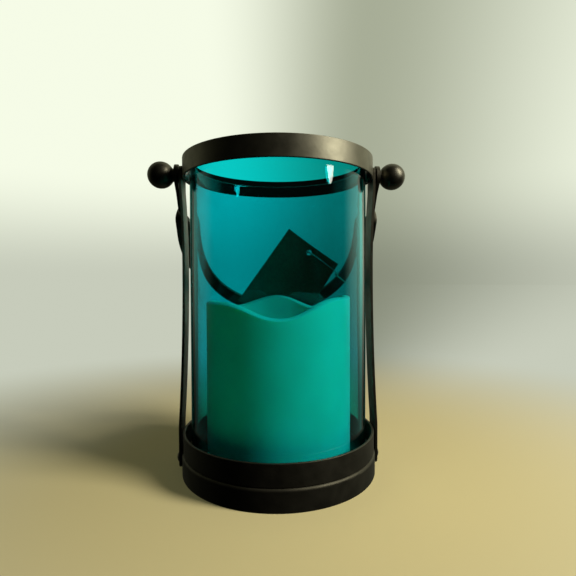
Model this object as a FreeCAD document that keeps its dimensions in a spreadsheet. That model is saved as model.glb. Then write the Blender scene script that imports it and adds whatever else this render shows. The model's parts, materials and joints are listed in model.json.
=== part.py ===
"""Candle lantern: strap-metal frame, tinted glass cylinder, bail handle and flameless pillar candle.

Millimetres and degrees. The origin is the middle of the base on the surface that it stands on, +Z is up,
+X is to the right of the photograph and -Y faces the viewer.
"""
import FreeCAD, Part
import math
import os
import re
import Sketcher

# Driving dimensions. Every name has two or more words, so that formulas can be told apart from functions.
SIZES = {
    # Top ring, a hoop of flat strip
    "ring_gap": 2.5,
    "ring_wall": 1.2,
    "ring_height": 10.2,
    "ring_top": 162.2,
    "strip_edge_round": 0.35,
    # Base: a stamped upside-down pan with a hoop standing on it
    "pan_height": 10.6,
    "pan_wall": 1.2,
    "pan_shoulder": 1.5,
    "hoop_gap": 3.1,
    "hoop_inset": 0.6,
    "hoop_wall": 1.2,
    "hoop_height": 10.7,
    # Upright straps
    "strap_width": 12.7,
    "strap_thickness": 1.3,
    "strap_foot": 1.5,
    "strap_above_pivot": 4.2,
    "strap_flat_above_hoop": 2.0,
    "strap_flat_below_pivot": 8.0,
    "strap_waist_inset": 1.4,
    "strap_waist_height": 107.0,
    "strap_corner": 3.5,
    "seat_gap": 0.05,
    # Rivets at the straps' feet
    "rivet_height": 5.6,
    "rivet_shank_radius": 1.6,
    "rivet_dome_radius": 3.5,
    "rivet_dome_height": 2.0,
    "rivet_tail_radius": 2.5,
    "rivet_tail_height": 0.8,
    # Pivots of the handle
    "pivot_drop": 7.2,
    "screw_radius": 2.0,
    "screw_head_radius": 3.4,
    "screw_head_height": 1.2,
    "screw_into_ball": 8.0,
    "hole_clearance": 0.05,
    "washer_radius": 4.4,
    "washer_thickness": 1.1,
    "ear_play": 0.1,
    "ball_radius": 7.0,
    "ball_offset": 7.3,
    "neck_radius": 3.5,
    # Bail handle, drawn hanging straight down from its pivots
    "handle_width": 7.8,
    "handle_thickness": 1.8,
    "ear_radius": 5.6,
    "ear_taper": 8.0,
    "twist_start": 18.5,
    "twist_length": 8.5,
    "bow_centre": 36.0,
    "lean_gap": 0.3,
    # Glass cylinder
    "glass_radius": 46.0,
    "glass_wall": 2.6,
    "glass_drop": 4.2,
    "glass_rim_round": 1.1,
    # Hang tag, bowed round the back of the glass
    "tag_gap": 1.5,
    "tag_thickness": 0.4,
    "tag_corner_side": 8.6,
    "tag_corner_drop": 23.0,
    "tag_width": 38.0,
    "tag_length": 56.0,
    "tag_top_slope": 37.4,
    "tag_left_lean": 36.5,
    "tag_right_lean": 31.0,
    "tag_hole_radius": 1.8,
    "tag_hole_inset": 4.5,
    "string_diameter": 0.8,
    "knot_radius": 1.3,
    "stopper_radius": 2.0,
    # Wax shell of the candle, measured from the candle's foot
    "wax_radius": 38.0,
    "wax_rim_wall": 5.0,
    "rim_top": 79.5,
    "rim_tilt": 1.2,
    "rim_crown": 1.6,
    "crest_overlap": 0.4,
    "front_dip": 7.9,
    "right_dip": 7.5,
    "left_dip": 4.5,
    "well_thickness": 3.0,
    "well_corner": 7.0,
    "bore_radius": 27.2,
    "board_headroom": 2.3,
    "led_hole_radius": 3.2,
    # Moulded core of the candle
    "core_recess": 1.0,
    "flange_radius": 33.0,
    "flange_thickness": 3.0,
    "core_gap": 0.2,
    "holder_radius": 13.6,
    "holder_roof": 2.1,
    "post_radius": 1.5,
    "post_height": 1.6,
    "post_circle": 10.5,
    # AAA cells and their contacts
    "cell_radius": 5.25,
    "cell_length": 44.5,
    "cell_nub_radius": 1.9,
    "cell_nub_height": 0.8,
    "cell_spacing": 12.4,
    "cell_gap": 0.2,
    "contact_thickness": 0.4,
    "contact_width": 4.0,
    "contact_length": 7.0,
    "tab_gap": 0.4,
    # Twist-lock battery cover
    "cover_radius": 14.2,
    "cover_recess": 0.3,
    "cover_thickness": 2.0,
    "cover_gap": 0.2,
    "lug_reach": 1.8,
    "lug_width": 6.0,
    "lug_thickness": 1.0,
    "coin_slot_width": 2.0,
    "coin_slot_length": 17.0,
    "coin_slot_depth": 1.0,
    "boss_radius": 12.0,
    "boss_height": 0.9,
    "lug_turn": 40.0,
    "bridge_length": 20.0,
    "bridge_width": 8.0,
    # Board, LED and slide switch
    "board_radius": 25.6,
    "board_thickness": 1.6,
    "led_radius": 2.5,
    "led_collar_radius": 2.95,
    "led_collar_height": 1.0,
    "led_height": 8.6,
    "switch_circle": 22.5,
    "switch_length": 11.0,
    "switch_width": 6.0,
    "switch_height": 5.0,
    "knob_size": 2.6,
    "knob_travel": 3.0,
    "knob_gap": 0.15,
    "knob_recess": 0.6,
    "finger_length": 14.0,
    "finger_width": 8.0,
    "finger_depth": 1.4,
    "lead_radius": 0.6,
    "lead_spacing": 3.2,
}

doc = FreeCAD.newDocument("candle_lantern")
sheet = doc.addObject("Spreadsheet::Sheet", "Sizes")
for row, (alias, size) in enumerate(SIZES.items(), start=1):
    sheet.set(f"A{row}", alias)
    sheet.set(f"B{row}", str(size))
    sheet.setAlias(f"B{row}", alias)
doc.recompute()

# Places that several pieces share, as formulas of the sheet's cells
RING_RADIUS = "(glass_radius + ring_gap + ring_wall)"
RING_BOTTOM = "(ring_top - ring_height)"
HOOP_RADIUS = "(glass_radius + hoop_gap + hoop_wall)"
HOOP_TOP = "(pan_height + hoop_height)"
PAN_RADIUS = f"({HOOP_RADIUS} + hoop_inset)"
PIVOT_HEIGHT = "(ring_top - pivot_drop)"
GLASS_HEIGHT = "(ring_top - glass_drop - pan_height)"
STRAP_FOOT_IN = f"({PAN_RADIUS} + seat_gap)"
STRAP_FOOT_OUT = f"({STRAP_FOOT_IN} + strap_thickness)"
STRAP_TOP_IN = f"({RING_RADIUS} + seat_gap)"
STRAP_TOP_OUT = f"({STRAP_TOP_IN} + strap_thickness)"
EAR_IN = f"({STRAP_TOP_OUT} + washer_thickness + ear_play)"
EAR_OUT = f"({EAR_IN} + handle_thickness)"
NECK_FACE = f"({EAR_OUT} + ear_play)"
BALL_CENTRE = f"({NECK_FACE} + ball_offset)"
PIVOT_HOLE = "(screw_radius + hole_clearance)"
RIVET_HOLE = "(rivet_shank_radius + hole_clearance)"
ARM_MIDDLE = f"({EAR_IN} + handle_thickness / 2)"
BOW_IN = f"({ARM_MIDDLE} - handle_width / 2)"
BOW_OUT = f"({ARM_MIDDLE} + handle_width / 2)"
TWIST_END = "(twist_start + twist_length)"
TAG_IN = "(glass_radius + tag_gap)"
TAG_OUT = f"({TAG_IN} + tag_thickness)"
LEAN_REACH = f"(bow_centre + {BOW_IN})"
HANDLE_LEAN = (f"(asin(({TAG_OUT} + lean_gap) / sqrt({LEAN_REACH}^2 + (handle_thickness / 2)^2))"
               f" + atan(handle_thickness / 2 / {LEAN_REACH}))")
FLANGE_TOP = "(core_recess + flange_thickness)"
COVER_BOTTOM = "(core_recess + cover_recess)"
COVER_TOP = f"({COVER_BOTTOM} + cover_thickness)"
LUG_BOTTOM = f"({COVER_TOP} - lug_thickness)"
BOSS_TOP = f"({COVER_TOP} + boss_height)"
CELL_FOOT = f"({BOSS_TOP} + contact_thickness + cell_gap)"
CELL_HEAD = f"({CELL_FOOT} + cell_length)"
CONTACT_BOTTOM = f"({CELL_HEAD} + cell_gap)"
BORE_END = f"({CONTACT_BOTTOM} + contact_thickness)"
HOLDER_TOP = f"({BORE_END} + holder_roof)"
BOARD_BOTTOM = f"({HOLDER_TOP} + post_height)"
BOARD_TOP = f"({BOARD_BOTTOM} + board_thickness)"
BORE_TOP = f"({BOARD_TOP} + board_headroom)"
WELL_FLOOR = f"({BORE_TOP} + well_thickness)"
CELL_BORE = "(cell_radius + cell_gap)"

# How near two lengths are to count as the same
ALIKE = 1e-6


def formula(text):
    """The text with every size name pointing into the sheet."""
    return re.sub(r"\b[a-z]+(?:_[a-z]+)+\b", r"Sizes.\g<0>", str(text))


def value(text):
    """A formula's number."""
    result = sheet.evalExpression(formula(text))
    return float(getattr(result, "Value", result))


def bind(target, **properties):
    """Tie properties of a document object to formulas."""
    for name, text in properties.items():
        target.setExpression(name.replace("__", "."), formula(text))


def new_body(label, height=None):
    """A body with its own label, lifted to a height if one is given."""
    body = doc.addObject("PartDesign::Body", label)
    body.Label = label
    if height is not None:
        bind(body, Placement__Base__z=height)
    return body


def arc_between(start, end, bend):
    """The arc from start to end whose radius is bend, turning left where bend is positive."""
    chord = end - start
    left = FreeCAD.Vector(-chord.y, chord.x, 0).normalize()
    rise = math.sqrt(max(bend * bend - chord.Length ** 2 / 4, 0))
    centre = (start + end) * 0.5 + left * math.copysign(rise, bend)
    first, last = (start, end) if bend > 0 else (end, start)
    angles = [math.atan2(p.y - centre.y, p.x - centre.x) for p in (first, last)]
    return Part.ArcOfCircle(Part.Circle(centre, FreeCAD.Vector(0, 0, 1), abs(bend)), *angles)


def new_sketch(body, role, shift=None):
    """An empty sketch on one of the body's origin planes, moved along the plane's normal by shift."""
    sketch = body.newObject("Sketcher::SketchObject", f"{body.Label}_sketch")
    plane = next(f for f in body.Origin.OriginFeatures if f.Role == role)
    sketch.AttachmentSupport = [(plane, "")]
    sketch.MapMode = "FlatFace"
    if shift is not None:
        bind(sketch, AttachmentOffset__Base__z=shift)
    return sketch


def place_point(sketch, geometry, position, place):
    """Hold one point of a sketch at a pair of formulas."""
    for kind, text in zip(("DistanceX", "DistanceY"), place):
        index = sketch.addConstraint(Sketcher.Constraint(kind, -1, 1, geometry, position, value(text)))
        sketch.setExpression(f"Constraints[{index}]", formula(text))


def add_outline(sketch, points):
    """A closed outline. A point is (x, y), or (x, y, bend) where an arc leads on to the next point."""
    corners = [FreeCAD.Vector(value(p[0]), value(p[1]), 0) for p in points]
    ends = []
    for index, point in enumerate(points):
        start, end = corners[index], corners[(index + 1) % len(points)]
        if len(point) == 2:
            ends.append((sketch.addGeometry(Part.LineSegment(start, end)), 1, 2))
            continue
        bend = value(point[2])
        geometry = sketch.addGeometry(arc_between(start, end, bend))
        ends.append((geometry, 1, 2) if bend > 0 else (geometry, 2, 1))
        radius = sketch.addConstraint(Sketcher.Constraint("Radius", geometry, abs(bend)))
        sketch.setExpression(f"Constraints[{radius}]", formula(f"abs({point[2]})"))
    for index, (geometry, begin, finish) in enumerate(ends):
        following = ends[(index + 1) % len(ends)]
        sketch.addConstraint(Sketcher.Constraint("Coincident", geometry, finish, following[0], following[1]))
        place_point(sketch, geometry, begin, points[index][:2])


def add_circle(sketch, x, y, radius):
    """A circle in a sketch, held by formulas."""
    centre = FreeCAD.Vector(value(x), value(y), 0)
    geometry = sketch.addGeometry(Part.Circle(centre, FreeCAD.Vector(0, 0, 1), value(radius)))
    index = sketch.addConstraint(Sketcher.Constraint("Radius", geometry, value(radius)))
    sketch.setExpression(f"Constraints[{index}]", formula(radius))
    place_point(sketch, geometry, 3, (x, y))


def rectangle(x, y, length, width):
    """Corner points of a rectangle about its middle."""
    return [(f"{x} + ({sx}) * ({length}) / 2", f"{y} + ({sy}) * ({width}) / 2")
            for sx, sy in ((-1, -1), (1, -1), (1, 1), (-1, 1))]


def revolve(body, points, axis="V_Axis", kind="Revolution"):
    """Turn an outline in the XZ plane once round the Z axis, or round the X axis as H_Axis."""
    sketch = new_sketch(body, "XZ_Plane")
    add_outline(sketch, points)
    feature = body.newObject(f"PartDesign::{kind}", f"{body.Label}_{kind.lower()}")
    feature.Profile = sketch
    feature.ReferenceAxis = (sketch, [axis])
    feature.Angle = 360
    return feature


def extrude(body, sketch, kind, length=None, symmetric=False, backwards=False):
    """Pad or Pocket of a sketch; a Pocket with no length goes right through both ways."""
    feature = body.newObject(f"PartDesign::{kind}", f"{body.Label}_{kind.lower()}")
    feature.Profile = sketch
    if length is None:
        feature.Type = "ThroughAll"
        symmetric = True
    else:
        bind(feature, Length=length)
    feature.SideType = "Symmetric" if symmetric else "One side"
    feature.Reversed = backwards
    return feature


def drill(body, role, x, y, radius):
    """A round hole right through the body, square to one of its origin planes."""
    sketch = new_sketch(body, role)
    add_circle(sketch, x, y, radius)
    before = body_volume(body)
    extrude(body, sketch, "Pocket")
    must_shrink(body, before)


def body_volume(body):
    doc.recompute()
    return body.Shape.Volume


def must_shrink(body, before):
    """Stop where a cut took nothing away."""
    if not body_volume(body) < before:
        raise RuntimeError(f"a cut in {body.Label} removes nothing")


def mirrored(source, label):
    """The left-hand copy of a right-hand piece."""
    copy = doc.addObject("Part::Mirroring", label)
    copy.Label = label
    copy.Source = source
    copy.Normal = FreeCAD.Vector(1, 0, 0)
    return copy


def grouped(label, members):
    """Several separate solids that share one node."""
    group = doc.addObject("Part::Compound", label)
    group.Label = label
    group.Links = members
    return group


def strip_hoop(label, radius, wall, bottom, top):
    """A hoop of flat strip with softened edges."""
    body = new_body(label)
    inner = f"({radius} - {wall})"
    ease = "strip_edge_round"
    revolve(body, [
        (f"{inner} + {ease}", bottom),
        (f"{radius} - {ease}", bottom, ease),
        (radius, f"{bottom} + {ease}"),
        (radius, f"{top} - {ease}", ease),
        (f"{radius} - {ease}", top),
        (f"{inner} + {ease}", top, ease),
        (inner, f"{top} - {ease}"),
        (inner, f"{bottom} + {ease}", ease),
    ])
    return body


# Frame

def make_top_ring():
    body = strip_hoop("top_ring", RING_RADIUS, "ring_wall", RING_BOTTOM, "ring_top")
    drill(body, "YZ_Plane", "0", PIVOT_HEIGHT, PIVOT_HOLE)
    return body


def make_base_hoop():
    return strip_hoop("base_hoop", HOOP_RADIUS, "hoop_wall", "pan_height", HOOP_TOP)


def make_base_pan():
    """Upside-down dish: a flat floor, a rounded shoulder and a plain rim to stand on."""
    body = new_body("base_pan")
    inner = f"({PAN_RADIUS} - pan_wall)"
    inner_bend = "(pan_shoulder - pan_wall)"
    revolve(body, [
        (inner, "0"),
        (PAN_RADIUS, "0"),
        (PAN_RADIUS, "pan_height - pan_shoulder", "pan_shoulder"),
        (f"{PAN_RADIUS} - pan_shoulder", "pan_height"),
        ("0", "pan_height"),
        ("0", "pan_height - pan_wall"),
        (f"{inner} - {inner_bend}", "pan_height - pan_wall", f"-{inner_bend}"),
        (inner, f"pan_height - pan_wall - {inner_bend}"),
    ])
    drill(body, "YZ_Plane", "0", "rivet_height", RIVET_HOLE)
    return body


def make_strap():
    """Right-hand strap: flat against base and ring, drawn in between them by two arcs that meet upright."""
    body = new_body("strap_right")
    low = f"({HOOP_TOP} + strap_flat_above_hoop)"
    high = f"({PIVOT_HEIGHT} - strap_flat_below_pivot)"
    top = f"({PIVOT_HEIGHT} + strap_above_pivot)"
    waist = f"({STRAP_TOP_IN} - strap_waist_inset)"
    lower_bend = bend_from_waist(f"strap_waist_height - {low}", f"{STRAP_FOOT_IN} - {waist}")
    upper_bend = bend_from_waist(f"{high} - strap_waist_height", f"{STRAP_TOP_IN} - {waist}")
    sketch = new_sketch(body, "XZ_Plane")
    add_outline(sketch, [
        (STRAP_FOOT_IN, "strap_foot"),
        (STRAP_FOOT_OUT, "strap_foot"),
        (STRAP_FOOT_OUT, low, f"strap_thickness - {lower_bend}"),
        (f"{waist} + strap_thickness", "strap_waist_height", f"strap_thickness - {upper_bend}"),
        (STRAP_TOP_OUT, high),
        (STRAP_TOP_OUT, top),
        (STRAP_TOP_IN, top),
        (STRAP_TOP_IN, high, upper_bend),
        (waist, "strap_waist_height", lower_bend),
        (STRAP_FOOT_IN, low),
    ])
    pad = extrude(body, sketch, "Pad", "strap_width", symmetric=True)
    doc.recompute()
    corners = [f"Edge{n}" for n, edge in enumerate(pad.Shape.Edges, start=1)
               if abs(edge.Length - value("strap_thickness")) < ALIKE
               and abs(abs(edge.CenterOfMass.y) - value("strap_width") / 2) < ALIKE
               and min(abs(edge.CenterOfMass.z - value(z)) for z in ("strap_foot", top)) < ALIKE]
    fillet = body.newObject("PartDesign::Fillet", "strap_corners")
    fillet.Base = (pad, corners)
    bind(fillet, Radius="strap_corner")
    drill(body, "YZ_Plane", "0", PIVOT_HEIGHT, PIVOT_HOLE)
    drill(body, "YZ_Plane", "0", "rivet_height", RIVET_HOLE)
    return body


def bend_from_waist(rise, spread):
    """Radius of the arc that leaves the waist upright and spreads outwards over a rise."""
    return f"((({rise})^2 + ({spread})^2) / (2 * ({spread})))"


def make_rivet():
    """Domed rivet through strap and pan wall, flattened inside."""
    body = new_body("rivet_right", "rivet_height")
    tail_face = f"(sqrt(({PAN_RADIUS} - pan_wall)^2 - rivet_tail_radius^2) - seat_gap)"
    dome = "((rivet_dome_radius^2 + rivet_dome_height^2) / (2 * rivet_dome_height))"
    revolve(body, [
        (f"{tail_face} - rivet_tail_height", "0"),
        (f"{STRAP_FOOT_OUT} + rivet_dome_height", "0", dome),
        (STRAP_FOOT_OUT, "rivet_dome_radius"),
        (STRAP_FOOT_OUT, "rivet_shank_radius"),
        (tail_face, "rivet_shank_radius"),
        (tail_face, "rivet_tail_radius"),
        (f"{tail_face} - rivet_tail_height", "rivet_tail_radius"),
    ], axis="H_Axis")
    return body


# Handle pivots

def make_pivot_screw():
    """Headed inside the ring, through ring, strap, washer and ear, into the ball."""
    body = new_body("screw_right", PIVOT_HEIGHT)
    head_face = f"(sqrt(({RING_RADIUS} - ring_wall)^2 - screw_head_radius^2) - seat_gap)"
    end = f"({NECK_FACE} + screw_into_ball)"
    revolve(body, [
        (f"{head_face} - screw_head_height", "0"),
        (end, "0"),
        (end, "screw_radius"),
        (head_face, "screw_radius"),
        (head_face, "screw_head_radius"),
        (f"{head_face} - screw_head_height", "screw_head_radius - screw_head_height / 2"),
    ], axis="H_Axis")
    return body


def make_pivot_washer():
    body = new_body("washer_right", PIVOT_HEIGHT)
    revolve(body, [
        (STRAP_TOP_OUT, PIVOT_HOLE),
        (f"{STRAP_TOP_OUT} + washer_thickness", PIVOT_HOLE),
        (f"{STRAP_TOP_OUT} + washer_thickness", "washer_radius"),
        (STRAP_TOP_OUT, "washer_radius"),
    ], axis="H_Axis")
    return body


def make_ball_finial():
    """Ball nut with a short neck that holds the ear on its screw."""
    body = new_body("ball_finial_right", PIVOT_HEIGHT)
    bore = f"({NECK_FACE} + screw_into_ball + seat_gap)"
    shoulder = f"({BALL_CENTRE} - sqrt(ball_radius^2 - neck_radius^2))"
    revolve(body, [
        (NECK_FACE, PIVOT_HOLE),
        (bore, PIVOT_HOLE),
        (bore, "0"),
        (f"{BALL_CENTRE} + ball_radius", "0", "ball_radius"),
        (BALL_CENTRE, "ball_radius", "ball_radius"),
        (shoulder, "neck_radius"),
        (NECK_FACE, "neck_radius"),
    ], axis="H_Axis")
    return body


# Bail handle

def make_handle():
    """One flat strip: a U in its own plane, a quarter twist in each arm, and an ear across each pivot."""
    body = new_body("bail_handle", PIVOT_HEIGHT)
    body.Placement.Rotation = FreeCAD.Rotation(FreeCAD.Vector(1, 0, 0), 1)
    bind(body, Placement__Rotation__Angle=HANDLE_LEAN)
    bow = new_sketch(body, "XZ_Plane")
    add_outline(bow, [
        (BOW_IN, f"-{TWIST_END}"),
        (BOW_IN, "-bow_centre", f"-{BOW_IN}"),
        ("0", f"-bow_centre - {BOW_IN}", f"-{BOW_IN}"),
        (f"-{BOW_IN}", "-bow_centre"),
        (f"-{BOW_IN}", f"-{TWIST_END}"),
        (f"-{BOW_OUT}", f"-{TWIST_END}"),
        (f"-{BOW_OUT}", "-bow_centre", BOW_OUT),
        ("0", f"-bow_centre - {BOW_OUT}", BOW_OUT),
        (BOW_OUT, "-bow_centre"),
        (BOW_OUT, f"-{TWIST_END}"),
    ])
    extrude(body, bow, "Pad", "handle_thickness", symmetric=True)
    twist = make_twist(body)
    ear = make_ear(body)
    mirror = body.newObject("PartDesign::Mirrored", "left_arm")
    mirror.Originals = [twist, ear]
    side = next(f for f in body.Origin.OriginFeatures if f.Role == "YZ_Plane")
    mirror.MirrorPlane = (side, [""])
    body.Tip = mirror
    return body


def make_twist(body):
    """A quarter twist of the strip about its own middle line."""
    steps = 6
    sections = []
    for step in range(steps + 1):
        section = new_sketch(body, "XY_Plane")
        turn = 90 * (1 - step / steps)
        section.AttachmentOffset = FreeCAD.Placement(
            FreeCAD.Vector(), FreeCAD.Rotation(FreeCAD.Vector(0, 0, 1), turn))
        bind(section, AttachmentOffset__Base__x=ARM_MIDDLE,
             AttachmentOffset__Base__z=f"-twist_start - twist_length * {step} / {steps}")
        add_outline(section, rectangle("0", "0", "handle_width", "handle_thickness"))
        sections.append(section)
    doc.recompute()
    loft = body.newObject("PartDesign::AdditiveLoft", "twist")
    loft.Profile = sections[0]
    loft.Sections = sections[1:]
    return loft


def make_ear(body):
    """The arm's flat top: rounded over the pivot hole and tapered to the strip's width."""
    sketch = new_sketch(body, "YZ_Plane", EAR_IN)
    half = "(handle_width / 2)"
    add_outline(sketch, [
        ("ear_radius", "0", "ear_radius"),
        ("0", "ear_radius", "ear_radius"),
        ("-ear_radius", "0"),
        (f"-{half}", "-ear_taper"),
        (f"-{half}", "-twist_start"),
        (half, "-twist_start"),
        (half, "-ear_taper"),
    ])
    add_circle(sketch, "0", "0", PIVOT_HOLE)
    return extrude(body, sketch, "Pad", "handle_thickness")


# Hang tag and its string

def make_hang_tag():
    """A card with a string hole, cut by its outline from a thin shell round the glass's back."""
    blank = new_body("tag_blank")
    along = ("tag_width * cos(tag_top_slope)", "-tag_width * sin(tag_top_slope)")
    left = ("-sin(tag_left_lean)", "-cos(tag_left_lean)")
    right = ("-sin(tag_right_lean)", "-cos(tag_right_lean)")
    corner = ("tag_corner_side", f"{PIVOT_HEIGHT} - tag_corner_drop")
    far_corner = (f"{corner[0]} + {along[0]}", f"{corner[1]} + {along[1]}")
    sketch = new_sketch(blank, "XZ_Plane")
    add_outline(sketch, [
        corner,
        far_corner,
        (f"{far_corner[0]} + tag_length * {right[0]}", f"{far_corner[1]} + tag_length * {right[1]}"),
        (f"{corner[0]} + tag_length * {left[0]}", f"{corner[1]} + tag_length * {left[1]}"),
    ])
    add_circle(sketch, f"{corner[0]} + {along[0]} / 2 + tag_hole_inset * {right[0]}",
               f"{corner[1]} + {along[1]} / 2 + tag_hole_inset * {right[1]}", "tag_hole_radius")
    extrude(blank, sketch, "Pad", f"{TAG_OUT} + tag_width", backwards=True)
    shell = doc.addObject("Part::Cut", "tag_shell")
    shell.Base = cylinder("tag_shell_out", TAG_OUT, "ring_top")
    shell.Tool = cylinder("tag_shell_in", TAG_IN, "ring_top")
    tag = doc.addObject("Part::Common", "hang_tag")
    tag.Label = "hang_tag"
    tag.Base = blank
    tag.Tool = shell
    return tag


def cylinder(label, radius, height):
    """A plain cylinder on the floor."""
    solid = doc.addObject("Part::Cylinder", label)
    bind(solid, Radius=radius, Height=height)
    return solid


# The string's route, chosen by hand, with heights from the pivots: from a stopper knot through the tag's
# hole, along its inner face to the edge, across the front of the handle's strip, round it and back to a knot
STRING_ROUTE = [
    (20.4, 45.7, -37.4),
    (22.2, 41.0, -38.8),
    (27.9, 37.5, -42.8),
    (33.7, 32.6, -47.6),
    (37.6, 28.0, -51.0),
    (39.1, 28.9, -52.1),
    (39.3, 35.1, -52.9),
    (46.6, 37.9, -57.2),
    (47.9, 39.1, -57.5),
    (47.9, 40.6, -56.5),
    (46.6, 40.8, -55.2),
    (40.0, 38.0, -51.5),
    (39.0, 35.8, -52.1),
]
TIE_KNOT = (39.1, 35.6, -52.4)
# The most of a run that the arc at one end of it may take
ARC_SHARE = 0.45


def make_tag_string():
    """A thin cord from the tag's hole to the handle, looped round the strip and knotted."""
    pivot = FreeCAD.Vector(0, 0, value(PIVOT_HEIGHT))
    route = [pivot + FreeCAD.Vector(*p) for p in STRING_ROUTE]
    path = cord_path(route)
    radius = value("string_diameter") / 2
    start = path[0].valueAt(path[0].FirstParameter)
    section = Part.Wire(Part.makeCircle(radius, start, path[0].tangentAt(path[0].FirstParameter)))
    tube = Part.Wire(path).makePipeShell([section], True, False)
    share = tube.Volume / (math.pi * radius ** 2 * Part.Wire(path).Length)
    print("string volume over section times length:", round(share, 4))
    string = doc.addObject("Part::Feature", "tag_string")
    string.Label = "tag_string"
    stopper = Part.makeSphere(value("stopper_radius"), route[0])
    knot = Part.makeSphere(value("knot_radius"), pivot + FreeCAD.Vector(*TIE_KNOT))
    string.Shape = tube.fuse([stopper, knot])
    return string


def cord_path(points):
    """Straight runs joined by tangent arcs, each as large as its two runs allow."""
    edges = []
    last = points[0]
    for before, corner, after in zip(points, points[1:], points[2:]):
        back = (before - corner).normalize()
        ahead = (after - corner).normalize()
        half_turn = (math.pi - back.getAngle(ahead)) / 2
        trim = ARC_SHARE * min((before - corner).Length, (after - corner).Length)
        radius = trim / math.tan(half_turn)
        print("string arc radius", round(radius, 2))
        middle = (back + ahead).normalize() * (radius / math.cos(half_turn) - radius)
        first, final = corner + back * trim, corner + ahead * trim
        edges.append(Part.LineSegment(last, first).toShape())
        edges.append(Part.Arc(first, corner + middle, final).toShape())
        last = final
    edges.append(Part.LineSegment(last, points[-1]).toShape())
    return edges


# Glass

def make_glass():
    """Open sleeve with a fire-rounded rim, standing on the pan's floor."""
    body = new_body("glass_cylinder", "pan_height")
    inner = "(glass_radius - glass_wall)"
    ease = "glass_rim_round"
    revolve(body, [
        (inner, "0"),
        ("glass_radius", "0"),
        ("glass_radius", f"{GLASS_HEIGHT} - {ease}", ease),
        (f"glass_radius - {ease}", GLASS_HEIGHT),
        (f"{inner} + {ease}", GLASS_HEIGHT, ease),
        (inner, f"{GLASS_HEIGHT} - {ease}"),
    ])
    return body


# Candle

# Where the wax has melted down: the bearing from the right, the depth, and half the width as an angle
RIM_DIPS = [(270, "front_dip", 45), (47, "right_dip", 43), (133, "left_dip", 43)]
RIM_STEP = 15


def make_candle_wax():
    """Turned shell with a sunk top, its rim cut to the wavy, rounded crest that melting leaves."""
    body = new_body("candle_wax", "pan_height")
    inner = "(wax_radius - wax_rim_wall)"
    blank_top = "(rim_top + rim_tilt + rim_crown)"
    counterbore = "(flange_radius + core_gap)"
    revolve(body, [
        (counterbore, "0"),
        ("wax_radius", "0"),
        ("wax_radius", blank_top),
        (inner, blank_top),
        (inner, f"{WELL_FLOOR} + well_corner", "-well_corner"),
        (f"{inner} - well_corner", WELL_FLOOR),
        ("led_hole_radius", WELL_FLOOR),
        ("led_hole_radius", BORE_TOP),
        ("bore_radius", BORE_TOP),
        ("bore_radius", FLANGE_TOP),
        (counterbore, FLANGE_TOP),
    ])
    before = body_volume(body)
    sections = [rim_section(body, turn, inner, blank_top) for turn in range(0, 360, RIM_STEP)]
    doc.recompute()
    melt = body.newObject("PartDesign::SubtractiveLoft", "melted_rim")
    melt.Profile = sections[0]
    melt.Sections = sections[1:]
    melt.Closed = True
    must_shrink(body, before)
    return body


def rim_section(body, turn, inner, blank_top):
    """What melting takes away at one bearing: everything above a rounded crest."""
    section = new_sketch(body, "XZ_Plane")
    section.AttachmentOffset = FreeCAD.Placement(
        FreeCAD.Vector(), FreeCAD.Rotation(FreeCAD.Vector(0, 1, 0), turn))
    side = f"({rim_height(turn)} - rim_crown)"
    half_span = "(wax_rim_wall / 2 + crest_overlap)"
    crest = f"(({half_span}^2 + rim_crown^2) / (2 * rim_crown))"
    near = f"({inner} - wax_rim_wall)"
    far = "(wax_radius + wax_rim_wall)"
    top = f"({blank_top} + wax_rim_wall)"
    add_outline(section, [
        (near, side),
        (f"{inner} - crest_overlap", side, f"-{crest}"),
        ("wax_radius + crest_overlap", side),
        (far, side),
        (far, top),
        (near, top),
    ])
    return section


def rim_height(turn):
    """Height of the rim's crest at a bearing, less the share of each dip that reaches it."""
    height = f"rim_top + rim_tilt * cos({turn})"
    for bearing, depth, half_width in RIM_DIPS:
        apart = abs((turn - bearing + 180) % 360 - 180)
        if apart < half_width:
            height += f" - {depth} * (1 + cos({180 * apart / half_width})) / 2"
    return f"({height})"


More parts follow.
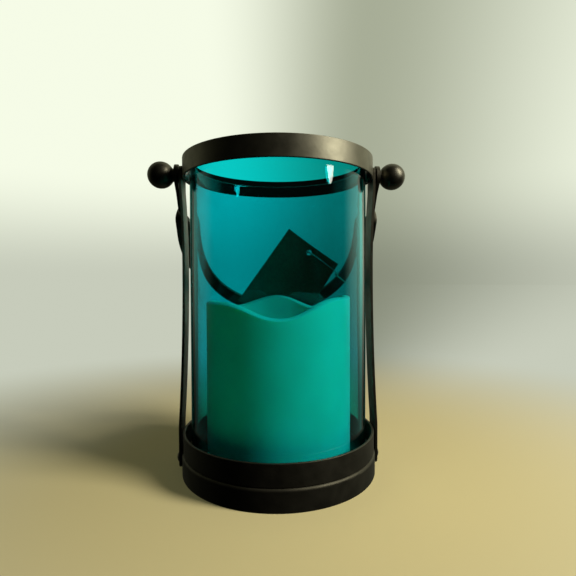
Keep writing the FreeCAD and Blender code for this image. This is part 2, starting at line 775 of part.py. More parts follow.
def make_candle_core():
    """Moulded holder: a flange that closes the wax, two cell bores, and a lipped mouth for the cover."""
    body = new_body("candle_core", "pan_height")
    mouth = "(cover_radius + cover_gap)"
    groove = "(cover_radius + lug_reach + cover_gap)"
    collar = f"({groove} + flange_thickness / 2)"
    collar_top = f"({FLANGE_TOP} + flange_thickness / 2)"
    revolve(body, [
        (mouth, "core_recess"),
        ("flange_radius", "core_recess"),
        ("flange_radius", FLANGE_TOP),
        (collar, FLANGE_TOP),
        (collar, collar_top),
        ("holder_radius", collar_top),
        ("holder_radius", HOLDER_TOP),
        ("0", HOLDER_TOP),
        ("0", CELL_FOOT),
        (mouth, CELL_FOOT),
        (mouth, f"{COVER_TOP} + cover_gap"),
        (groove, f"{COVER_TOP} + cover_gap"),
        (groove, f"{LUG_BOTTOM} - cover_gap"),
        (mouth, f"{LUG_BOTTOM} - cover_gap"),
    ])
    bores = new_sketch(body, "XY_Plane", BOSS_TOP)
    tabs = new_sketch(body, "XY_Plane", BOSS_TOP)
    for side in (-1, 1):
        middle = f"({side} * cell_spacing / 2)"
        add_circle(bores, middle, "0", CELL_BORE)
        add_outline(tabs, rectangle(middle, "0", "contact_thickness + 2 * tab_gap",
                                    "contact_width + 2 * tab_gap"))
    cut_upwards(body, bores, f"{BORE_END} - {BOSS_TOP}")
    cut_upwards(body, tabs, HOLDER_TOP)
    # Ways in for the cover's lugs, a part turn away from where they lock
    ways = new_sketch(body, "XY_Plane", "core_recess")
    ways.AttachmentOffset.Rotation = FreeCAD.Rotation(FreeCAD.Vector(0, 0, -1), 1)
    bind(ways, AttachmentOffset__Rotation__Angle="lug_turn")
    add_outline(ways, rectangle("0", "0", f"2 * {groove}", "lug_width + 2 * cover_gap"))
    cut_upwards(body, ways, f"{LUG_BOTTOM} - core_recess")
    finger = new_sketch(body, "XY_Plane", "core_recess")
    add_outline(finger, rectangle("0", "-switch_circle", "finger_length", "finger_width"))
    cut_upwards(body, finger, "finger_depth")
    slot = new_sketch(body, "XY_Plane", "core_recess")
    add_outline(slot, knob_slot())
    cut_upwards(body, slot, "flange_thickness")
    posts = new_sketch(body, "XY_Plane", HOLDER_TOP)
    for turn in (90, 210, 330):
        add_circle(posts, f"post_circle * cos({turn})", f"post_circle * sin({turn})", "post_radius")
    extrude(body, posts, "Pad", "post_height")
    return body


def cut_upwards(body, sketch, depth):
    """Pocket from the sketch up, which has to take something away."""
    before = body_volume(body)
    extrude(body, sketch, "Pocket", depth, backwards=True)
    must_shrink(body, before)


def knob_slot():
    """Outline of the slot that the switch's knob slides in."""
    return rectangle("0", "-switch_circle", "knob_size + knob_travel + 2 * knob_gap",
                     "knob_size + 2 * knob_gap")


def block(label, outline, bottom, height):
    """A straight-sided piece of the candle on an outline, from a height up."""
    body = new_body(label, "pan_height")
    sketch = new_sketch(body, "XY_Plane", bottom)
    add_outline(sketch, outline)
    extrude(body, sketch, "Pad", height)
    return body


def make_battery_cells():
    """Two AAA cells side by side, one of them upside down."""
    cells = []
    for side, label in ((1, "cell_upright"), (-1, "cell_inverted")):
        body = new_body(label)
        revolve(body, [
            ("0", "0"),
            ("cell_radius", "0"),
            ("cell_radius", "cell_length - cell_nub_height"),
            ("cell_nub_radius", "cell_length - cell_nub_height"),
            ("cell_nub_radius", "cell_length"),
            ("0", "cell_length"),
        ])
        body.Placement.Rotation = FreeCAD.Rotation(FreeCAD.Vector(1, 0, 0), 0 if side > 0 else 180)
        foot = CELL_FOOT if side > 0 else CELL_HEAD
        bind(body, Placement__Base__x=f"{side} * cell_spacing / 2", Placement__Base__z=f"pan_height + {foot}")
        cells.append(body)
    return grouped("battery_cells", cells)


def make_battery_contacts():
    """A strip over each cell's head with a tab up to the board."""
    contacts = []
    for side, label in ((1, "contact_right"), (-1, "contact_left")):
        middle = f"({side} * cell_spacing / 2)"
        body = block(label, rectangle(middle, "0", "contact_length", "contact_width"),
                     CONTACT_BOTTOM, "contact_thickness")
        tab = new_sketch(body, "XY_Plane", CONTACT_BOTTOM)
        add_outline(tab, rectangle(middle, "0", "contact_thickness", "contact_width"))
        extrude(body, tab, "Pad", f"{BOARD_BOTTOM} - {CONTACT_BOTTOM}")
        contacts.append(body)
    return grouped("battery_contacts", contacts)


def make_battery_cover():
    """Round cover with a boss, two locking lugs and a coin slot across its face."""
    body = new_body("battery_cover", "pan_height")
    revolve(body, [
        ("0", COVER_BOTTOM),
        ("cover_radius", COVER_BOTTOM),
        ("cover_radius", COVER_TOP),
        ("boss_radius", COVER_TOP),
        ("boss_radius", BOSS_TOP),
        ("0", BOSS_TOP),
    ])
    reach = "(cover_radius + lug_reach)"
    lugs = new_sketch(body, "XY_Plane", LUG_BOTTOM)
    edge = f"sqrt({reach}^2 - (lug_width / 2)^2)"
    add_outline(lugs, [
        (edge, "-lug_width / 2", reach),
        (edge, "lug_width / 2"),
        (f"-{edge}", "lug_width / 2", reach),
        (f"-{edge}", "-lug_width / 2"),
    ])
    extrude(body, lugs, "Pad", "lug_thickness")
    coin = new_sketch(body, "XY_Plane", COVER_BOTTOM)
    add_outline(coin, rectangle("0", "0", "coin_slot_length", "coin_slot_width"))
    cut_upwards(body, coin, "coin_slot_depth")
    return body


def make_cover_contact():
    """Bridge strip on the cover's boss that joins the two cells."""
    return block("cover_contact", rectangle("0", "0", "bridge_length", "bridge_width"),
                 BOSS_TOP, "contact_thickness")


def make_circuit_board():
    body = new_body("circuit_board", "pan_height")
    sketch = new_sketch(body, "XY_Plane", BOARD_BOTTOM)
    add_circle(sketch, "0", "0", "board_radius")
    extrude(body, sketch, "Pad", "board_thickness")
    return body


def make_led_bulb():
    """Round-nosed LED with a collar, standing on the board."""
    body = new_body("led_bulb", "pan_height")
    collar_top = f"({BOARD_TOP} + led_collar_height)"
    tip = f"({BOARD_TOP} + led_height)"
    revolve(body, [
        ("0", BOARD_TOP),
        ("led_collar_radius", BOARD_TOP),
        ("led_collar_radius", collar_top),
        ("led_radius", collar_top),
        ("led_radius", f"{tip} - led_radius", "led_radius"),
        ("0", tip),
    ])
    return body


def make_switch_body():
    """Slide switch on the flange, hollowed below for its knob."""
    body = block("switch_body", rectangle("0", "-switch_circle", "switch_length", "switch_width"),
                 FLANGE_TOP, "switch_height")
    hollow = new_sketch(body, "XY_Plane", FLANGE_TOP)
    add_outline(hollow, knob_slot())
    cut_upwards(body, hollow, "switch_height / 2")
    return body


def make_switch_knob():
    """The knob at its off end."""
    bottom = "(core_recess + knob_recess)"
    return block("switch_knob", rectangle("(-knob_travel / 2)", "-switch_circle", "knob_size", "knob_size"),
                 bottom, f"{FLANGE_TOP} + switch_height / 2 - knob_gap - {bottom}")


def make_switch_leads():
    """Two straight wires from the switch up to the board."""
    leads = []
    for side, label in ((1, "lead_right"), (-1, "lead_left")):
        body = new_body(label, "pan_height")
        sketch = new_sketch(body, "XY_Plane", f"{FLANGE_TOP} + switch_height")
        add_circle(sketch, f"{side} * lead_spacing / 2", "-switch_circle", "lead_radius")
        extrude(body, sketch, "Pad", f"{BOARD_BOTTOM} - {FLANGE_TOP} - switch_height")
        leads.append(body)
    return grouped("switch_leads", leads)


# Writing the pieces

def build():
    strap = make_strap()
    ball = make_ball_finial()
    rivet = make_rivet()
    screw = make_pivot_screw()
    washer = make_pivot_washer()
    return [
        make_base_pan(),
        make_base_hoop(),
        make_top_ring(),
        strap,
        mirrored(strap, "strap_left"),
        grouped("strap_rivets", [rivet, mirrored(rivet, "rivet_left")]),
        grouped("pivot_screws", [screw, mirrored(screw, "screw_left")]),
        grouped("pivot_washers", [washer, mirrored(washer, "washer_left")]),
        ball,
        mirrored(ball, "ball_finial_left"),
        make_handle(),
        make_hang_tag(),
        make_tag_string(),
        make_glass(),
        make_candle_wax(),
        make_candle_core(),
        make_battery_cells(),
        make_battery_contacts(),
        make_battery_cover(),
        make_cover_contact(),
        make_circuit_board(),
        make_led_bulb(),
        make_switch_body(),
        make_switch_knob(),
        make_switch_leads(),
    ]


nodes = build()
doc.recompute()
for item in doc.Objects:
    if "Invalid" in item.State or "Error" in item.State:
        raise RuntimeError(f"{item.Label} failed: {item.State}")
os.makedirs("parts", exist_ok=True)
for item in nodes:
    if item.Shape.isNull() or not item.Shape.isValid():
        raise RuntimeError(f"{item.Label} has no valid shape")
for item in nodes:
    item.Shape.exportStep(f"parts/{item.Label}.step")
    print(item.Label, len(item.Shape.Solids), round(item.Shape.Volume, 1))
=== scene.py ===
"""Looks of the candle lantern: materials, string, stage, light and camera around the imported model.

Metres, in the model's own frame: +Z up, +X to the photograph's right, -Y towards the camera.
"""
import json
import math

import bmesh
import bpy
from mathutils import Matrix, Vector


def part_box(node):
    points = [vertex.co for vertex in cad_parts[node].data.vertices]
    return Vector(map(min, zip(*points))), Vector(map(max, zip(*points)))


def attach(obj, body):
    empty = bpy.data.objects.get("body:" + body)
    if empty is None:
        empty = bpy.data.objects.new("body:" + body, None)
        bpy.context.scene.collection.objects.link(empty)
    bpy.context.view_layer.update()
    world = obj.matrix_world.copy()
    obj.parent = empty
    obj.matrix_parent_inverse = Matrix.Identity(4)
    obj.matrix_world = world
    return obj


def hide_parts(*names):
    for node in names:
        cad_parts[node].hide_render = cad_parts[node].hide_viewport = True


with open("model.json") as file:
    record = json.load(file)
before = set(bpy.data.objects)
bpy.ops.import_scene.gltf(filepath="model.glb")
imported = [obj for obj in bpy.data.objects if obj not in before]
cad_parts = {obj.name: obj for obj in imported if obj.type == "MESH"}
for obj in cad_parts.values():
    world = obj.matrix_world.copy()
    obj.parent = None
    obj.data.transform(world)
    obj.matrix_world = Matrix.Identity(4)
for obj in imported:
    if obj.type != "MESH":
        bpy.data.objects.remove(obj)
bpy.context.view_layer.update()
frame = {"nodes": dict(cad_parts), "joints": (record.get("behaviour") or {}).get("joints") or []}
NODES = frame["nodes"]
MM = 0.001


# Building blocks of all node trees

def calculate(tree, operation, first, second):
    """One arithmetic node on two sockets or numbers."""
    made = tree.nodes.new("ShaderNodeMath")
    made.operation = operation
    for socket, term in zip(made.inputs, (first, second)):
        if isinstance(term, (int, float)):
            socket.default_value = term
        else:
            tree.links.new(term, socket)
    return made.outputs["Value"]


def vector_node(tree, operation, vector):
    """One vector node, fed with a vector."""
    made = tree.nodes.new("ShaderNodeVectorMath")
    made.operation = operation
    tree.links.new(vector, made.inputs[0])
    return made


def map_range(tree, term, source, result, kind="LINEAR"):
    """A change from the result's first to its last value while the term crosses the source range."""
    made = tree.nodes.new("ShaderNodeMapRange")
    made.interpolation_type = kind
    made.inputs["From Min"].default_value = source[0]
    made.inputs["From Max"].default_value = source[1]
    made.inputs["To Min"].default_value = result[0]
    made.inputs["To Max"].default_value = result[1]
    tree.links.new(term, made.inputs["Value"])
    return made.outputs["Result"]


def mix_colours(tree, factor):
    """A colour node: its input A shows at factor 0 and its input B at factor 1."""
    made = tree.nodes.new("ShaderNodeMix")
    made.data_type = "RGBA"
    tree.links.new(factor, made.inputs["Factor"])
    return made


def mix_shaders(tree, factor, first, last):
    """One shader at factor 0 and another at factor 1."""
    made = tree.nodes.new("ShaderNodeMixShader")
    tree.links.new(factor, made.inputs["Fac"])
    tree.links.new(first, made.inputs[1])
    tree.links.new(last, made.inputs[2])
    return made.outputs["Shader"]


# Building blocks of the materials

# The middle part of a noise texture's values, which the tones and the sheen are spread over
TONE_RANGE = (0.35, 0.65)
SHEEN_RANGE = (0.3, 0.7)


def new_material(name, **even):
    """A node material with one Principled shader, whose even values sit on its own sockets."""
    made = bpy.data.materials.new(name)
    made.use_nodes = True
    for socket, setting in even.items():
        shader_input(made, socket.replace("_", " ")).default_value = setting
    return made


def shader_input(made, socket):
    """A socket of the material's Principled shader."""
    return made.node_tree.nodes["Principled BSDF"].inputs[socket]


def noise(made, size, detail=4, stretch=(1, 1, 1)):
    """Noise over the object's own coordinates with features of about that size in metres."""
    nodes, links = made.node_tree.nodes, made.node_tree.links
    place = nodes.new("ShaderNodeTexCoord")
    spread = nodes.new("ShaderNodeMapping")
    spread.inputs["Scale"].default_value = stretch
    texture = nodes.new("ShaderNodeTexNoise")
    texture.inputs["Scale"].default_value = 1 / size
    texture.inputs["Detail"].default_value = detail
    links.new(place.outputs["Object"], spread.inputs["Vector"])
    links.new(spread.outputs["Vector"], texture.inputs["Vector"])
    return texture.outputs["Fac"]


def colour_by(made, factor, dark, light):
    """Base colour between two tones."""
    ramp = made.node_tree.nodes.new("ShaderNodeValToRGB")
    for stop, position, tone in zip(ramp.color_ramp.elements, TONE_RANGE, (dark, light)):
        stop.position = position
        stop.color = (*tone, 1)
    made.node_tree.links.new(factor, ramp.inputs["Fac"])
    made.node_tree.links.new(ramp.outputs["Color"], shader_input(made, "Base Color"))


def roughness_by(made, factor, low, high):
    """Roughness between two values."""
    spread = map_range(made.node_tree, factor, SHEEN_RANGE, (low, high))
    made.node_tree.links.new(spread, shader_input(made, "Roughness"))


def bump_by(made, factor, depth, strength=1.0):
    """Relief of a depth in metres."""
    bump = made.node_tree.nodes.new("ShaderNodeBump")
    bump.inputs["Distance"].default_value = depth
    bump.inputs["Strength"].default_value = strength
    made.node_tree.links.new(factor, bump.inputs["Height"])
    made.node_tree.links.new(bump.outputs["Normal"], shader_input(made, "Normal"))


# Materials

# Inner faces of the ring
INNER_COLOUR = (0.02, 0.019, 0.014)
INNER_ROUGHNESS = 1.0
# Darkest tone as a share of the colour, and how far the roughness strays
MOULDED_SHADE = 0.9
MOULDED_STRAY = 0.06
PLATED_SHADE = 0.85


def bronzed_metal(name, dark, light, low=0.4, high=0.5):
    """Satin blackened bronze: cloudy tone, uneven sheen from a low to a high roughness, and a fine grain."""
    made = new_material(name, Metallic=1.0)
    colour_by(made, noise(made, size=12 * MM), dark, light)
    roughness_by(made, noise(made, size=5 * MM), low, high)
    bump_by(made, noise(made, size=1.2 * MM, detail=2), depth=0.02 * MM)
    return made


def dull_within(made, radius):
    """Inner faces of a hoop: darker and rougher nearer to the upright axis than a radius."""
    tree = made.node_tree
    place = tree.nodes.new("ShaderNodeTexCoord")
    level = vector_node(tree, "MULTIPLY", place.outputs["Object"])
    level.inputs[1].default_value = (1, 1, 0)
    reach = vector_node(tree, "LENGTH", level.outputs["Vector"])
    outside = calculate(tree, "GREATER_THAN", reach.outputs["Value"], radius)
    for socket, inner in (("Base Color", INNER_COLOUR), ("Roughness", [INNER_ROUGHNESS] * 3)):
        target = shader_input(made, socket)
        choice = mix_colours(tree, outside)
        choice.inputs["A"].default_value = (*inner, 1)
        tree.links.new(target.links[0].from_socket, choice.inputs["B"])
        tree.links.new(choice.outputs["Result"], target)


def tinted_glass():
    """Clear teal glass, coloured through, with the faint unevenness of blown ware."""
    made = new_material("tinted_glass", Base_Color=(0.003, 0.65, 0.74, 1), Roughness=0.0, IOR=1.45,
                        Transmission_Weight=1.0)
    bump_by(made, noise(made, size=30 * MM, detail=1, stretch=(1, 1, 0.3)), depth=0.1 * MM, strength=0.3)
    return made


def wax():
    """Ivory wax that lets a little light in, cloudy and slightly dimpled."""
    made = new_material("wax", Subsurface_Weight=0.6, Subsurface_Scale=4 * MM,
                        Subsurface_Radius=(1.0, 0.8, 0.55))
    colour_by(made, noise(made, size=20 * MM), dark=(0.83, 0.775, 0.63), light=(0.89, 0.84, 0.71))
    roughness_by(made, noise(made, size=8 * MM), low=0.42, high=0.58)
    bump_by(made, noise(made, size=6 * MM, detail=2), depth=0.12 * MM, strength=0.5)
    return made


def card():
    """Dark pulp board with a fine mottle."""
    made = new_material("card")
    colour_by(made, noise(made, size=1.4 * MM), dark=(0.036, 0.058, 0.022), light=(0.064, 0.098, 0.037))
    roughness_by(made, noise(made, size=6 * MM), low=0.6, high=0.8)
    bump_by(made, noise(made, size=0.8 * MM), depth=0.04 * MM)
    return made


def twine():
    """Pale cotton string: twisted fibres."""
    made = new_material("twine", Roughness=0.85, Sheen_Weight=0.3)
    fibres = noise(made, size=0.6 * MM, stretch=(1, 0.4, 1))
    colour_by(made, fibres, dark=(0.26, 0.24, 0.18), light=(0.46, 0.43, 0.35))
    bump_by(made, fibres, depth=0.1 * MM)
    return made


def moulded(name, colour, roughness=0.5):
    """Moulded plastic with a fine spark-eroded grain."""
    made = new_material(name)
    colour_by(made, noise(made, size=10 * MM), dark=[c * MOULDED_SHADE for c in colour], light=colour)
    roughness_by(made, noise(made, size=3 * MM), roughness - MOULDED_STRAY, roughness + MOULDED_STRAY)
    bump_by(made, noise(made, size=0.5 * MM, detail=2), depth=0.02 * MM)
    return made


def plated_metal(name, colour):
    """Plated strip with a fine rolled grain."""
    made = new_material(name, Metallic=1.0)
    colour_by(made, noise(made, size=4 * MM), dark=[c * PLATED_SHADE for c in colour], light=colour)
    roughness_by(made, noise(made, size=2 * MM, stretch=(0.2, 3, 1)), low=0.2, high=0.38)
    return made


def dress(material, *names):
    """Give CAD nodes a material."""
    for name in names:
        slots = NODES[name].data.materials
        slots.clear()
        slots.append(material)


# Metal of the frame and the handle

RING_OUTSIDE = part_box("top_ring")[1][0]
HALF_RING_WALL = 0.6 * MM

# The ring's bronze is a lighter copy of the frame's metal: a painted highlight that brightens its sheen.
ring_metal_painted_highlight = bronzed_metal("ring_metal_painted_highlight", dark=(0.15, 0.142, 0.1), light=(0.19, 0.18, 0.128))
dull_within(ring_metal_painted_highlight, RING_OUTSIDE - HALF_RING_WALL)
dress(ring_metal_painted_highlight, "top_ring")
# The base's bronze is a darker and rougher copy of the frame's metal: painted shade that dims its sheen.
base_metal_painted_shade = bronzed_metal("base_metal_painted_shade", dark=(0.066, 0.062, 0.044), light=(0.086, 0.08, 0.057),
                           low=0.5, high=0.6)
dress(base_metal_painted_shade, "base_pan", "base_hoop")
frame_metal = bronzed_metal("frame_metal", dark=(0.1, 0.094, 0.066), light=(0.13, 0.122, 0.086))
dress(frame_metal, "strap_right", "strap_left", "strap_rivets")
handle_metal = bronzed_metal("handle_metal", dark=(0.09, 0.085, 0.06), light=(0.12, 0.112, 0.08))
dress(handle_metal, "bail_handle")
finial_metal = bronzed_metal("finial_metal", dark=(0.085, 0.08, 0.058), light=(0.115, 0.108, 0.08),
                             low=0.36, high=0.46)
dress(finial_metal, "ball_finial_right", "ball_finial_left")
pivot_steel = bronzed_metal("pivot_steel", dark=(0.085, 0.082, 0.068), light=(0.11, 0.106, 0.09))
dress(pivot_steel, "pivot_screws", "pivot_washers")

# Glass, candle and tag

dress(tinted_glass(), "glass_cylinder")
dress(wax(), "candle_wax")
dress(card(), "hang_tag")

# The glass is left out of shadow and diffuse rays, so that light reaches the candle cleanly
NODES["glass_cylinder"].visible_shadow = False
NODES["glass_cylinder"].visible_diffuse = False

# Inside of the candle

dress(moulded("core_plastic", (0.8, 0.77, 0.68)), "candle_core", "battery_cover")
dress(moulded("cell_jacket", (0.1, 0.105, 0.115), roughness=0.35), "battery_cells")
dress(plated_metal("contact_metal", (0.62, 0.61, 0.58)), "battery_contacts", "cover_contact")
dress(moulded("board_laminate", (0.03, 0.12, 0.05), roughness=0.4), "circuit_board")
dress(moulded("led_lens", (0.86, 0.82, 0.66), roughness=0.2), "led_bulb")
dress(moulded("switch_plastic", (0.03, 0.03, 0.033), roughness=0.45), "switch_body", "switch_knob")
dress(moulded("lead_insulation", (0.32, 0.02, 0.015), roughness=0.35), "switch_leads")


# String: from a stopper knot through the tag's hole, along the tag, round the handle and back to a knot

STRING_DIAMETER = 0.8 * MM
PIVOTS = Vector(next(joint["pos_m"] for joint in frame["joints"] if joint["name"] == "handle_swing"))
# Route and tie knot in millimetres from the middle of the pivots' axis
STRING_ROUTE = [
    (20.4, 45.7, -37.4),
    (22.2, 41.0, -38.8),
    (27.9, 37.5, -42.8),
    (33.7, 32.6, -47.6),
    (37.6, 28.0, -51.0),
    (39.1, 28.9, -52.1),
    (39.2, 33.7, -52.7),
    (39.3, 35.1, -52.9),
    (40.6, 35.6, -53.7),
    (46.6, 37.9, -57.2),
    (47.9, 39.1, -57.5),
    (47.9, 40.6, -56.5),
    (46.6, 40.8, -55.2),
    (40.0, 38.0, -51.5),
    (39.0, 35.8, -52.1),
]
TIE_KNOT = (39.1, 35.6, -52.4)
TIE_KNOT_RADIUS = 1.3 * MM
STOPPER_RADIUS = 2.0 * MM
KNOT_POINTS = 24


def from_pivots(place):
    """A point in metres from millimetres off the pivots' middle."""
    return PIVOTS + Vector(place) * MM


def string_curve(name, points, material, closed=False):
    """One smooth string along its control points."""
    curve = bpy.data.curves.new(name, "CURVE")
    curve.dimensions = "3D"
    curve.bevel_depth = STRING_DIAMETER / 2
    curve.bevel_resolution = 3
    curve.resolution_u = 10
    curve.use_fill_caps = True
    spline = curve.splines.new("NURBS")
    spline.points.add(len(points) - 1)
    for place, point in zip(points, spline.points):
        point.co = (*place, 1)
    spline.order_u = 3
    spline.use_endpoint_u = not closed
    spline.use_cyclic_u = closed
    curve.materials.append(material)
    made = bpy.data.objects.new(name, curve)
    bpy.context.scene.collection.objects.link(made)
    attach(made, "handle")
    return made


def knot(name, centre, radius, material):
    """A pulled-tight overhand knot: a trefoil of the same string."""
    # The trefoil reaches out to 3 times its unit
    unit = (radius - STRING_DIAMETER / 2) / 3
    points = []
    for step in range(KNOT_POINTS):
        turn = 2 * math.pi * step / KNOT_POINTS
        points.append(centre + unit * Vector((
            math.sin(turn) + 2 * math.sin(2 * turn),
            -math.sin(3 * turn),
            math.cos(turn) - 2 * math.cos(2 * turn),
        )))
    return string_curve(name, points, material, closed=True)


def make_string():
    """The tag's string with a knot at each end, in place of its CAD tube."""
    material = twine()
    route = [from_pivots(place) for place in STRING_ROUTE]
    string = string_curve("tag_string_twine", route, material)
    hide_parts("tag_string")
    stopper = knot("stopper_knot", route[0], STOPPER_RADIUS, material)
    tie = knot("tie_knot", from_pivots(TIE_KNOT), TIE_KNOT_RADIUS, material)


make_string()


# Stage: a pale floor and backdrop, and a plain surround for the metal and the glass to mirror

BACKDROP_COLOUR = (0.92, 0.97, 0.8)
BACKDROP_SHADE = (0.39, 0.42, 0.31)
# Shares of a direction, left to right, over which the shade begins and ends
SHADE_FROM = (-0.12, 0.2)
SHADE_TO = (0.2, 0.75)
# Brightness at the backdrop's foot, and the upward shares over which it grows to full
BACKDROP_FOOT = 0.62
BACKDROP_RISE = (0.0, 0.22)

FLOOR_COLOUR = (0.88, 0.75, 0.38)
FLOOR_GLOW = (0.05, 0.05, 0.022)
FLOOR_RADIUS = 6.0
FLOOR_SIDES = 96
FLOOR_DROP = 0.1 * MM
# Distances from the middle over which the floor fades into the backdrop
FLOOR_FADE = (0.08, 0.4)

MIRRORED_LEFT = (0.24, 0.25, 0.18)
MIRRORED_RIGHT = (0.74, 0.75, 0.55)
MIRRORED_SIDES = (-0.4, 0.4)
# Brightness in front and below, and the shares over which it grows to full
MIRRORED_FRONT = 0.03
MIRRORED_TURN = (-0.05, 0.3)
MIRRORED_BELOW = 0.15
MIRRORED_RISE = (-0.3, 0.15)
# A ray with more glossy bounces than this has been mirrored
NO_BOUNCE = 0.5


def smooth_range(tree, term, source, first=0.0):
    """A smooth change from a first value to 1 while the term crosses the source range."""
    return map_range(tree, term, source, (first, 1.0), kind="SMOOTHSTEP")


def between(tree, factor, first, last):
    """One colour at factor 0 and another at factor 1."""
    made = mix_colours(tree, factor)
    made.inputs["A"].default_value = (*first, 1)
    made.inputs["B"].default_value = (*last, 1)
    return made.outputs["Result"]


def axes_of(tree, direction):
    """A direction's shares along X, Y and Z."""
    made = tree.nodes.new("ShaderNodeSeparateXYZ")
    tree.links.new(direction, made.inputs["Vector"])
    return made.outputs


def seen_rays(tree):
    """One where the camera sees a place, directly or through the glass; and one where it is mirrored."""
    path = tree.nodes.new("ShaderNodeLightPath").outputs
    mirrored = calculate(tree, "GREATER_THAN", path["Glossy Depth"], NO_BOUNCE)
    clear = calculate(tree, "MAXIMUM", path["Is Camera Ray"], path["Is Transmission Ray"])
    seen = calculate(tree, "GREATER_THAN", clear, mirrored)
    return seen, mirrored


def backdrop_colour(tree, direction):
    """The pale backdrop by its direction: half shaded right of the middle, and lighter higher up."""
    axes = axes_of(tree, direction)
    begun = smooth_range(tree, axes["X"], SHADE_FROM)
    ended = smooth_range(tree, axes["X"], SHADE_TO)
    shade = calculate(tree, "SUBTRACT", begun, ended)
    made = vector_node(tree, "SCALE", between(tree, shade, BACKDROP_COLOUR, BACKDROP_SHADE))
    tree.links.new(smooth_range(tree, axes["Z"], BACKDROP_RISE, BACKDROP_FOOT), made.inputs["Scale"])
    return made.outputs["Vector"]


def mirrored_surround(tree, direction):
    """A plain surround for metal and glass to mirror: pale behind and on the lamp's side, dim elsewhere."""
    axes = axes_of(tree, direction)
    made = tree.nodes.new("ShaderNodeBackground")
    side = smooth_range(tree, axes["X"], MIRRORED_SIDES)
    tree.links.new(between(tree, side, MIRRORED_LEFT, MIRRORED_RIGHT), made.inputs["Color"])
    behind = smooth_range(tree, axes["Y"], MIRRORED_TURN, MIRRORED_FRONT)
    above = smooth_range(tree, axes["Z"], MIRRORED_RISE, MIRRORED_BELOW)
    tree.links.new(calculate(tree, "MULTIPLY", behind, above), made.inputs["Strength"])
    return made.outputs["Background"]


def lit_floor(tree, seen):
    """Floor that takes the light and the shadow, with a faint glow where it is seen."""
    matt = tree.nodes.new("ShaderNodeBsdfDiffuse")
    matt.inputs["Color"].default_value = (*FLOOR_COLOUR, 1)
    glow = tree.nodes.new("ShaderNodeEmission")
    glow.inputs["Color"].default_value = (*FLOOR_GLOW, 1)
    tree.links.new(seen, glow.inputs["Strength"])
    lit = tree.nodes.new("ShaderNodeAddShader")
    tree.links.new(matt.outputs["BSDF"], lit.inputs[0])
    tree.links.new(glow.outputs["Emission"], lit.inputs[1])
    return lit.outputs["Shader"]


def floor_material():
    """Pale floor that keeps the shadow, fades into the backdrop further out and isn't mirrored."""
    made = bpy.data.materials.new("stage_floor")
    made.use_nodes = True
    tree = made.node_tree
    tree.nodes.clear()
    place = tree.nodes.new("ShaderNodeTexCoord").outputs["Object"]
    reach = vector_node(tree, "LENGTH", place).outputs["Value"]
    bearing = vector_node(tree, "NORMALIZE", place).outputs["Vector"]
    seen, mirrored = seen_rays(tree)
    far = tree.nodes.new("ShaderNodeEmission")
    tree.links.new(backdrop_colour(tree, bearing), far.inputs["Color"])
    faded = calculate(tree, "MULTIPLY", smooth_range(tree, reach, FLOOR_FADE), seen)
    shown = mix_shaders(tree, faded, lit_floor(tree, seen), far.outputs["Emission"])
    nothing = tree.nodes.new("ShaderNodeBsdfTransparent").outputs["BSDF"]
    out = tree.nodes.new("ShaderNodeOutputMaterial")
    tree.links.new(mix_shaders(tree, mirrored, shown, nothing), out.inputs["Surface"])
    return made


def make_floor():
    """A wide disc just under the lantern."""
    mesh = bpy.data.meshes.new("floor")
    shape = bmesh.new()
    bmesh.ops.create_circle(shape, cap_ends=True, segments=FLOOR_SIDES, radius=FLOOR_RADIUS)
    shape.to_mesh(mesh)
    shape.free()
    floor = bpy.data.objects.new("floor", mesh)
    floor.location.z = -FLOOR_DROP
    mesh.materials.append(floor_material())
    bpy.context.scene.collection.objects.link(floor)


# Light and camera

LIGHT_COLOUR = (1, 0.97, 0.8)
LIGHT_STRENGTH = 0.038
LAMP_PLACE = Vector((0.577, -0.278, 0.505))
LAMP_TARGET = Vector((0, 0, 0.08))
LAMP_WIDTH, LAMP_HEIGHT = 0.25, 0.5
LAMP_POWER = 5.0
LAMP_COLOUR = (1, 0.97, 0.87)
CAMERA_PLACE = (-0.0071, -0.2388, 0.101)
CAMERA_LENS = 27.85
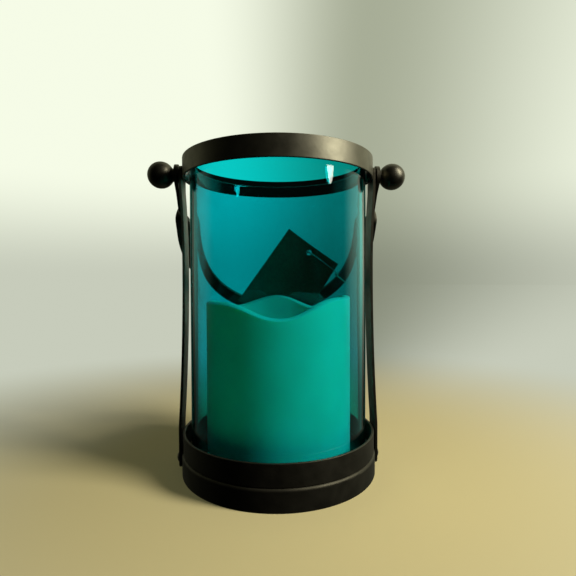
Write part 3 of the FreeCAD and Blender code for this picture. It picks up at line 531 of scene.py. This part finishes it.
# Degrees
CAMERA_DOWN = 1.36
CAMERA_ROLL = 0.2
CAMERA_TURN = -2.95


def make_world():
    """Even soft light on the object, the backdrop where it is seen, and the surround in mirrors."""
    world = bpy.data.worlds.new("studio")
    bpy.context.scene.world = world
    world.use_nodes = True
    tree = world.node_tree
    tree.nodes.clear()
    direction = tree.nodes.new("ShaderNodeTexCoord").outputs["Generated"]
    seen, mirrored = seen_rays(tree)
    light = tree.nodes.new("ShaderNodeBackground")
    light.inputs["Color"].default_value = (*LIGHT_COLOUR, 1)
    light.inputs["Strength"].default_value = LIGHT_STRENGTH
    backdrop = tree.nodes.new("ShaderNodeBackground")
    tree.links.new(backdrop_colour(tree, direction), backdrop.inputs["Color"])
    surround = mirrored_surround(tree, direction)
    unseen = mix_shaders(tree, mirrored, light.outputs["Background"], surround)
    out = tree.nodes.new("ShaderNodeOutputWorld")
    tree.links.new(mix_shaders(tree, seen, unseen, backdrop.outputs["Background"]), out.inputs["Surface"])


def make_lamp():
    """An oval soft box aimed at the lantern."""
    lamp = bpy.data.lights.new("key", "AREA")
    lamp.shape = "ELLIPSE"
    lamp.size = LAMP_WIDTH
    lamp.size_y = LAMP_HEIGHT
    lamp.energy = LAMP_POWER
    lamp.color = LAMP_COLOUR
    made = bpy.data.objects.new("key", lamp)
    made.location = LAMP_PLACE
    made.rotation_euler = (LAMP_TARGET - LAMP_PLACE).to_track_quat("-Z", "Y").to_euler()
    bpy.context.scene.collection.objects.link(made)


def make_camera():
    """The photograph's own viewpoint."""
    camera = bpy.data.cameras.new("camera")
    camera.sensor_width = 36
    camera.lens = CAMERA_LENS
    camera.clip_start = 10 * MM
    made = bpy.data.objects.new("camera", camera)
    made.location = CAMERA_PLACE
    made.rotation_euler = [math.radians(angle) for angle in (90 - CAMERA_DOWN, CAMERA_ROLL, CAMERA_TURN)]
    bpy.context.scene.collection.objects.link(made)
    bpy.context.scene.camera = made


make_floor()
make_world()
make_lamp()
make_camera()
bpy.context.scene.view_settings.view_transform = "Standard"
